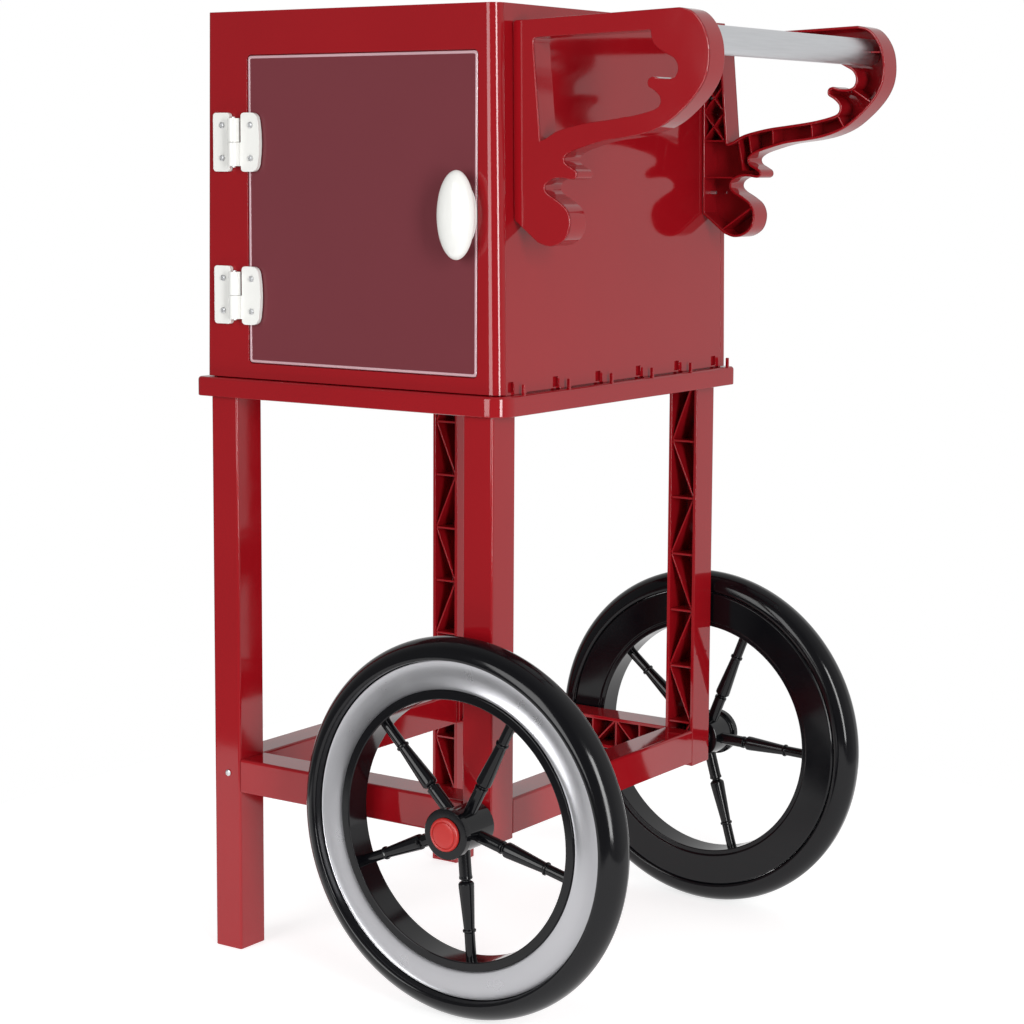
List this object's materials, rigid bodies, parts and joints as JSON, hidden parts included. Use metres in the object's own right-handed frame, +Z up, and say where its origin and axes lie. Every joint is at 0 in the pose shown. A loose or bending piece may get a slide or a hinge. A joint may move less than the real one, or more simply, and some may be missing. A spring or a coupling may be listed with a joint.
{
  "type": "popcorn maker stand",
  "caption": "Wheeled storage stand of a fairground-style popcorn maker: a cabinet with a clear hinged door on ribbed legs, spoked wheels at one end and a scrolled push handle.",
  "frame": {"origin": "on the floor, under the middle of the whole part's box", "axes": "+Z up, +X from the cabinet towards the push handle, +Y from the door towards the back"},
  "size_m": [0.4696, 0.4282, 0.781],
  "materials": {
    "red_plastic": "high-gloss moulded plastic",
    "cap_red": "satin moulded plastic",
    "black_plastic": "gloss moulded plastic",
    "silver_trim": "satin silver paint on plastic",
    "white_plastic": "gloss moulded plastic",
    "clear_plastic": "polished clear plastic",
    "steel": "zinc plated",
    "aluminium_tube": "satin"
  },
  "bodies": {
    "cart": {"base_tray": "red_plastic", "cabinet_front_frame": "red_plastic", "cabinet_back_panel": "red_plastic", "cabinet_left_panel": "red_plastic", "cabinet_right_panel": "red_plastic", "cabinet_top": "red_plastic", "leg_front_left": "red_plastic", "leg_back_left": "red_plastic", "leg_front_right": "red_plastic", "leg_back_right": "red_plastic", "rail_front": "red_plastic", "rail_back": "red_plastic", "rail_left": "red_plastic", "rail_right": "red_plastic", "handle_bracket_front": "red_plastic", "handle_bracket_back": "red_plastic", "handle_bar": "aluminium_tube", "upper_hinge_frame_leaf": "white_plastic", "upper_hinge_pin": "steel", "upper_hinge_frame_screw_low": "steel", "upper_hinge_frame_screw_high": "steel", "lower_hinge_frame_leaf": "white_plastic", "lower_hinge_pin": "steel", "lower_hinge_frame_screw_low": "steel", "lower_hinge_frame_screw_high": "steel", "door_catch_magnet": "black_plastic", "rail_screw_front": "steel", "rail_screw_back": "steel", "axle": "steel", "bracket_screw_front_low": "steel", "bracket_screw_front_high": "steel", "front_axle_push_nut": "steel", "front_axle_washer": "steel", "front_axle_bush": "white_plastic", "bracket_screw_back_low": "steel", "bracket_screw_back_high": "steel", "back_axle_push_nut": "steel", "back_axle_washer": "steel", "back_axle_bush": "white_plastic"},
    "door": {"door_panel": "clear_plastic", "door_knob": "white_plastic", "door_catch_plate": "steel", "door_knob_screw": "steel", "upper_hinge_door_leaf": "white_plastic", "lower_hinge_door_leaf": "white_plastic", "upper_hinge_door_screw_low": "steel", "upper_hinge_door_screw_high": "steel", "lower_hinge_door_screw_low": "steel", "lower_hinge_door_screw_high": "steel"},
    "front_wheel": {"front_wheel_body": "black_plastic", "front_wheel_tyre": "black_plastic", "front_wheel_whitewall": "silver_trim", "front_wheel_hub_cap": "cap_red"},
    "back_wheel": {"back_wheel_body": "black_plastic", "back_wheel_tyre": "black_plastic", "back_wheel_whitewall": "silver_trim", "back_wheel_hub_cap": "cap_red"}
  },
  "joints": [
    {"name": "door_swing", "type": "hinge", "parent": "cart", "child": "door", "pos_m": [-0.19225, -0.17035, 0.61425], "axis": [0, 0, -1], "range_deg": [0, 110]},
    {"name": "front_wheel_spin", "type": "hinge", "parent": "cart", "child": "front_wheel", "pos_m": [0.05025, -0.18825, 0.15], "axis": [0, 1, 0], "continuous": true},
    {"name": "back_wheel_spin", "type": "hinge", "parent": "cart", "child": "back_wheel", "pos_m": [0.05025, 0.18825, 0.15], "axis": [0, 1, 0], "continuous": true}
  ]
}
